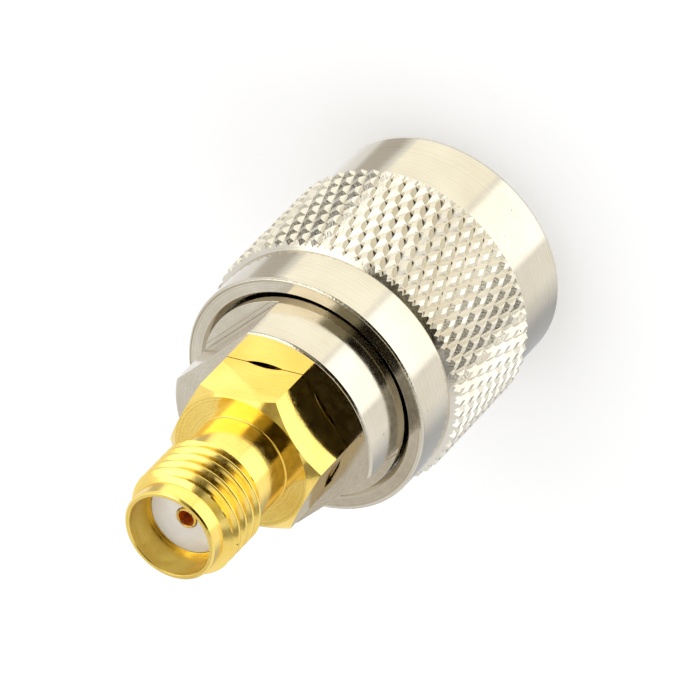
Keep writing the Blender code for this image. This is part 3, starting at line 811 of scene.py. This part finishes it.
def nut_knurl(nickel):
    """Rolled diamond knurl, chamfered at both ends."""
    low = BAND_LENGTH
    top = knurl_top()
    peak_r = KNURL_ROOT_R + (KNURL_LAND_R - KNURL_ROOT_R) / (1 - KNURL_LAND)
    piece = crossed_valleys(peak_r)
    rise = peak_r - NUT_R
    run = rise * KNURL_CHAMFER / (KNURL_LAND_R - NUT_R)
    inside = KNURL_FLOOR_R - rise
    blank = lathe("knurl_blank", [(inside, top), (NUT_R, top), (peak_r, top - run),
                                  (peak_r, low + run), (NUT_R, low), (inside, low)])
    combine(piece, blank, "INTERSECT")
    ease_edges(piece, KNURL_EASE, KNURL_EASE_ANGLE)
    dress(piece, "nut", "coupling_nut", nickel)


def slot_boxes(count, width, inner, outer, low, high):
    """Boxes that cut slots between two radii and two heights, evenly round the axis."""
    return [((outer - inner, width, high - low), ((inner + outer) / 2, 0.0, (low + high) / 2),
             i * TURN / count) for i in range(count)]


def sleeve_fingers(nickel):
    """Slotted spring sleeve of the plug."""
    seat = SLEEVE_SEAT_Z - SEAT_GAP
    outline = rounded([
        (FINGER_BORE_R, SLEEVE_TIP_Z, BROAD),
        (SLEEVE_R - SLEEVE_TIP_CHAMFER, SLEEVE_TIP_Z, WIDE),
        (SLEEVE_TIP_R, SLEEVE_TIP_Z + SLEEVE_TIP_LENGTH / 2, SLEEVE_TIP_FILLET),
        (SLEEVE_R, SLEEVE_TIP_Z + SLEEVE_TIP_LENGTH, SLEEVE_TIP_FILLET),
        (SLEEVE_R, seat, FINE), (SLEEVE_BORE_R, seat, FINE), (SLEEVE_BORE_R, FINGER_Z, 0),
        (FINGER_BORE_R, FINGER_Z - SLEEVE_WALL + FINGER_WALL, FULL)])
    piece = lathe("sleeve_fingers", outline)
    cut_away(piece, slot_boxes(SLEEVE_SLOTS, SLOT_WIDTH, PLUG_INSULATOR_R,
                               SLEEVE_TIP_R + SLOT_SPARE, SLEEVE_TIP_Z - SLOT_SPARE, SLOT_Z))
    ease_edges(piece, SLEEVE_EASE)
    dress(piece, "adapter", "outer_contact", nickel)


def pin_and_socket(gold, socket_bounce_painted_gold):
    """One turned contact: the plug's pin, and the jack's slotted socket."""
    hole_floor = JACK_FLOOR_Z - SOCKET_HOLE_DEPTH
    drill_point = hole_floor - SOCKET_HOLE_R
    outline = rounded([
        (0.0, PIN_TIP_Z, 0), (PIN_TIP_R, PIN_TIP_Z, PIN_TIP_FILLET),
        (PIN_R, PIN_TIP_Z + PIN_TAPER, PIN_FILLET), (PIN_R, CAPTIVE_Z, 0),
        (CAPTIVE_R, CAPTIVE_Z, 0), (CAPTIVE_R, STACK_Z, 0), (SOCKET_R, STACK_Z, 0),
        (SOCKET_R, SOCKET_FACE_Z - SOCKET_CHAMFER, SMALL),
        (SOCKET_R - SOCKET_CHAMFER, SOCKET_FACE_Z, FINE),
        (SOCKET_HOLE_R + SOCKET_CHAMFER, SOCKET_FACE_Z, FINE),
        (SOCKET_HOLE_R, SOCKET_FACE_Z - SOCKET_LEAD, SMALL), (SOCKET_HOLE_R, hole_floor, 0),
        (0.0, drill_point, 0)], closed=False)
    piece = lathe("pin_and_socket", outline, steps=LATHE_STEPS // 2, closed=False)
    cut_away(piece, slot_boxes(SOCKET_SLOTS, SOCKET_SLOT_WIDTH, SOCKET_HOLE_R / 2,
                               SOCKET_R + SOCKET_SLOT_SPARE, JACK_FLOOR_Z - SOCKET_SLOT_DEPTH,
                               SOCKET_FACE_Z + SOCKET_SLOT_SPARE))
    smooth(piece)
    dress(piece, "adapter", "centre_contact", gold)
    # The socket's hole takes gold whose deep orange is painted bounce light, not the plating's own
    # colour.
    line_bore(piece, socket_bounce_painted_gold, 0.0, SOCKET_HOLE_R + BORE_MARGIN, drill_point)


def jack_bush(ptfe):
    """Insulator that closes the jack's bore."""
    hole = SOCKET_R + SEAT_GAP
    outline = rounded([(hole, SPIGOT_END_Z, 0), (JACK_INSULATOR_R, SPIGOT_END_Z, 0),
                       (JACK_INSULATOR_R, JACK_FLOOR_Z, SMALL), (hole, JACK_FLOOR_Z, FINE)])
    dress(lathe("jack_bush", outline), "adapter", "sma_insulator", ptfe)


def plug_bush(ptfe):
    """Insulator round the pin, hollow at its front."""
    pin_hole = PIN_R + SEAT_GAP
    captive_hole = CAPTIVE_R + SEAT_GAP
    captive_front = CAPTIVE_Z - SEAT_GAP
    outline = rounded([
        (HOLLOW_R, PLUG_INSULATOR_Z, FULL), (PLUG_INSULATOR_R, PLUG_INSULATOR_Z, WIDE),
        (PLUG_INSULATOR_R, STACK_Z, 0), (captive_hole, STACK_Z, 0),
        (captive_hole, captive_front, 0), (pin_hole, captive_front, 0),
        (pin_hole, HOLLOW_Z, FINE), (HOLLOW_R, HOLLOW_Z, FULL)])
    dress(lathe("plug_bush", outline), "adapter", "tnc_insulator", ptfe)


def seal(silicone):
    """Flat gasket round the sleeve."""
    back = BODY_FRONT_Z - SEAT_GAP
    front = back - GASKET_THICK
    outline = rounded([(GASKET_INNER_R, front, GASKET_FILLET),
                       (GASKET_OUTER_R, front, GASKET_FILLET),
                       (GASKET_OUTER_R, back, BROAD), (GASKET_INNER_R, back, BROAD)])
    dress(lathe("seal", outline), "adapter", "gasket", silicone)


def snap_ring(steel):
    """Hidden ring between nut and body: the solid itself, in its own finish."""
    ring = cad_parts["snap_ring"]
    ring.data.materials.clear()
    ring.data.materials.append(steel)


def panel_sheet(name, reach, low, high):
    """A curved sheet of the tent, with its own width and height as its coordinates."""
    bm = bmesh.new()
    uv = bm.loops.layers.uv.new("across")
    grid = []
    for row in range(PANEL_ROWS + 1):
        edge = np.array(low) + (np.array(high) - np.array(low)) * row / PANEL_ROWS
        up, start, end = np.radians(edge)
        line = []
        for column in range(PANEL_COLUMNS + 1):
            around = start + (end - start) * column / PANEL_COLUMNS
            spot = Vector((math.cos(around) * math.cos(up), math.sin(around) * math.cos(up),
                           math.sin(up))) * reach * MM
            line.append((bm.verts.new(spot), (column / PANEL_COLUMNS, row / PANEL_ROWS)))
        grid.append(line)
    for row in range(PANEL_ROWS):
        for column in range(PANEL_COLUMNS):
            corners = [grid[row][column], grid[row][column + 1], grid[row + 1][column + 1],
                       grid[row + 1][column]]
            face = bm.faces.new([corner[0] for corner in corners])
            for loop, corner in zip(face.loops, corners):
                loop[uv].uv = corner[1]
    mesh = bpy.data.meshes.new(name)
    bm.to_mesh(mesh)
    bm.free()
    card = bpy.data.objects.new(name, mesh)
    bpy.context.collection.objects.link(card)
    return card


def panel_glow(name, level, tint, soft):
    """Even glow that fades to clear air at the sheet's edges."""
    material, tree = blank_material(name)
    across = add(tree, "TexCoord")
    parts = add(tree, "SeparateXYZ", links={0: (across, "UV")})
    edges = []
    for axis, fade in zip(("X", "Y"), soft):
        middle = add(tree, "Math", {"operation": "SUBTRACT", 1: 0.5}, {0: (parts, axis)})
        away = add(tree, "Math", {"operation": "ABSOLUTE"}, {0: (middle, 0)})
        edges.append(add(tree, "MapRange", {"interpolation_type": "SMOOTHSTEP",
                                            "From Min": 0.5 - fade, "From Max": 0.5,
                                            "To Min": 1.0, "To Max": 0.0}, {"Value": (away, 0)}))
    mask = add(tree, "Math", {"operation": "MULTIPLY"}, {0: (edges[0], 0), 1: (edges[1], 0)})
    clear = add(tree, "BsdfTransparent")
    glow = add(tree, "Emission", {"Color": linear(tint), "Strength": level})
    blend = add(tree, "MixShader", links={0: (mask, 0), 1: (clear, 0), 2: (glow, 0)})
    close_material(tree, blend, 0)
    return material


def panel(name, layer, low, high, level, tint, soft):
    """A patch of the light tent, seen only in gloss.

    Low and high are (elevation, first azimuth, last azimuth) in degrees, azimuths from +X.
    Soft is the share of its width and of its height over which an edge fades.
    A patch of a higher layer hangs nearer and covers the ones behind it.
    """
    card = panel_sheet(name, TENT_REACH - TENT_LAYER * layer, low, high)
    card.visible_camera = False
    card.visible_shadow = False
    card.visible_diffuse = False
    card.data.materials.append(panel_glow(name, level, tint, soft))


def light_tent():
    """White tent round the part, with the bright and dark panels that its metal mirrors."""
    panel("warm_panel", 0, (-85, -76, 16), (20, -70, 12), 1.48, "#FFFDF2", (0.07, 0.08))
    panel("warm_panel_above", 1, (33, -46, 50), (66, -42, 50), 2.2, "#FFFDF6", (0.1, 0.12))
    panel("zenith_panel", 1, (58, -175, -92), (84, -175, -92), 1.3, "#FFF4A4", (0.1, 0.1))
    panel("white_panel", 1, (-85, -140, -70), (8, -146, -70), 1.9, "#FFFFFB", (0.12, 0.12))
    panel("brown_gap", 2, (-85, 15, 50), (-8, 15, 50), 0.65, "#FFF9F0", (0.2, 0.2))
    panel("far_white", 2, (-85, -180, -138), (0, -180, -138), 1.15, "#FFFEFA", (0.2, 0.2))
    panel("far_grey", 3, (-85, -275, -176), (-5, -275, -176), 0.6, "#F4F8FF", (0.3, 0.2))
    panel("far_opening", 4, (38, -212, -136), (48.5, -212, -136), 0.31, "#FFFDF6", (0.08, 0.12))
    panel("half_shade", 5, (-20, -84, -26), (68, -146, -38), 0.42, "#FFF8D8", (0.1, 0.1))
    panel("dark_opening", 6, (-19, -78, -36), (58, -152, -75), 0.014, "#FFDCB8", (0.08, 0.07))
    panel("shade_over_knurl", 6, (48, -84, -42), (59, -84, -42), 0.06, "#FFE6D0", (0.2, 0.15))
    panel("shade_above", 7, (61, -76, -22), (82, -76, -22), 0.03, "#FFCC90", (0.2, 0.12))
    panel("ring_shade", 1, (25, 98.4, 130), (62, 98.4, 130), 0.6, "#FFF6E6", (0.08, 0.1))


def world_light():
    """Plain white surround: full white where it is seen, a plain level where it lights."""
    world = bpy.data.worlds.new("surround")
    bpy.context.scene.world = world
    world.use_nodes = True
    tree = world.node_tree
    tree.nodes.clear()
    path = add(tree, "LightPath")
    seen = add(tree, "Math", {"operation": "MAXIMUM"},
               {0: (path, "Is Camera Ray"), 1: (path, "Is Glossy Ray")})
    seen_all = add(tree, "Math", {"operation": "MAXIMUM"},
                   {0: (seen, 0), 1: (path, "Is Transmission Ray")})
    strength = add(tree, "MapRange", {"To Min": SURROUND_LEVEL, "To Max": 1.0},
                   {"Value": (seen_all, 0)})
    back = add(tree, "Background", {"Color": linear("#FFFFFF")}, {"Strength": (strength, 0)})
    add(tree, "OutputWorld", links={"Surface": (back, 0)})


def floor():
    """Pale floor that keeps a faint shadow, clear from below and not seen in gloss."""
    bm = bmesh.new()
    half = FLOOR_SIZE * MM / 2
    bm.faces.new([bm.verts.new((x * half, y * half, 0.0))
                  for x, y in ((-1, -1), (1, -1), (1, 1), (-1, 1))])
    mesh = bpy.data.meshes.new("studio_floor")
    bm.to_mesh(mesh)
    bm.free()
    ground = bpy.data.objects.new("studio_floor", mesh)
    bpy.context.collection.objects.link(ground)
    ground.visible_glossy = False
    material, tree = blank_material("pale_floor")
    path = add(tree, "LightPath")
    lift = add(tree, "Math", {"operation": "MULTIPLY", 1: FLOOR_GLOW}, {0: (path, "Is Camera Ray")})
    paint = add(tree, "BsdfDiffuse", {"Color": linear("#F4F4F4")})
    glow = add(tree, "Emission", {"Color": linear("#FFFFFF")}, {"Strength": (lift, 0)})
    both = add(tree, "AddShader", links={0: (paint, 0), 1: (glow, 0)})
    clear = add(tree, "BsdfTransparent")
    facing = add(tree, "NewGeometry")
    shader = add(tree, "MixShader", links={0: (facing, "Backfacing"), 1: (both, 0), 2: (clear, 0)})
    close_material(tree, shader, 0)
    ground.data.materials.append(material)


def soft_lamps():
    """Wide soft lamps from both sides and above, that light without being mirrored."""
    for name, azimuth, elevation in LAMPS:
        lamp = bpy.data.lights.new(name, "AREA")
        lamp.shape = "DISK"
        lamp.size = LAMP_SIZE * MM
        lamp.energy = LAMP_WATTS
        holder = bpy.data.objects.new(name, lamp)
        bpy.context.collection.objects.link(holder)
        away = Vector((math.cos(elevation) * math.cos(azimuth),
                       math.cos(elevation) * math.sin(azimuth), math.sin(elevation)))
        middle = Vector((0.0, 0.0, MOUTH_Z / 2 * MM))
        holder.matrix_world = (Matrix.Translation(middle + away * LAMP_REACH * MM)
                               @ away.to_track_quat("Z", "Y").to_matrix().to_4x4())
        holder.visible_glossy = False
        holder.visible_camera = False


def studio():
    """Tent, surround, floor and lamps, shown without a film curve."""
    light_tent()
    world_light()
    floor()
    soft_lamps()
    bpy.context.scene.view_settings.view_transform = "Standard"


def main():
    """Finish every piece of the adapter, then light it."""
    nickel = nickel_plate_on_turned_brass()
    ptfe = turned_ptfe()
    jack_barrel(gold_flash_on_turned_brass(), gold_flash_in_the_bore())
    jack_hexagon(gold_flash_on_milled_brass())
    plug_barrel(nickel)
    nut_sleeve(nickel_plate_on_nut())
    nut_knurl(nickel_plate_on_rolled_knurl())
    sleeve_fingers(nickel)
    pin_and_socket(gold_plate_on_contact(), painted_bounce_gold_for_socket())
    jack_bush(ptfe)
    plug_bush(ptfe)
    seal(moulded_silicone())
    snap_ring(rolled_spring_steel())
    studio()


main()
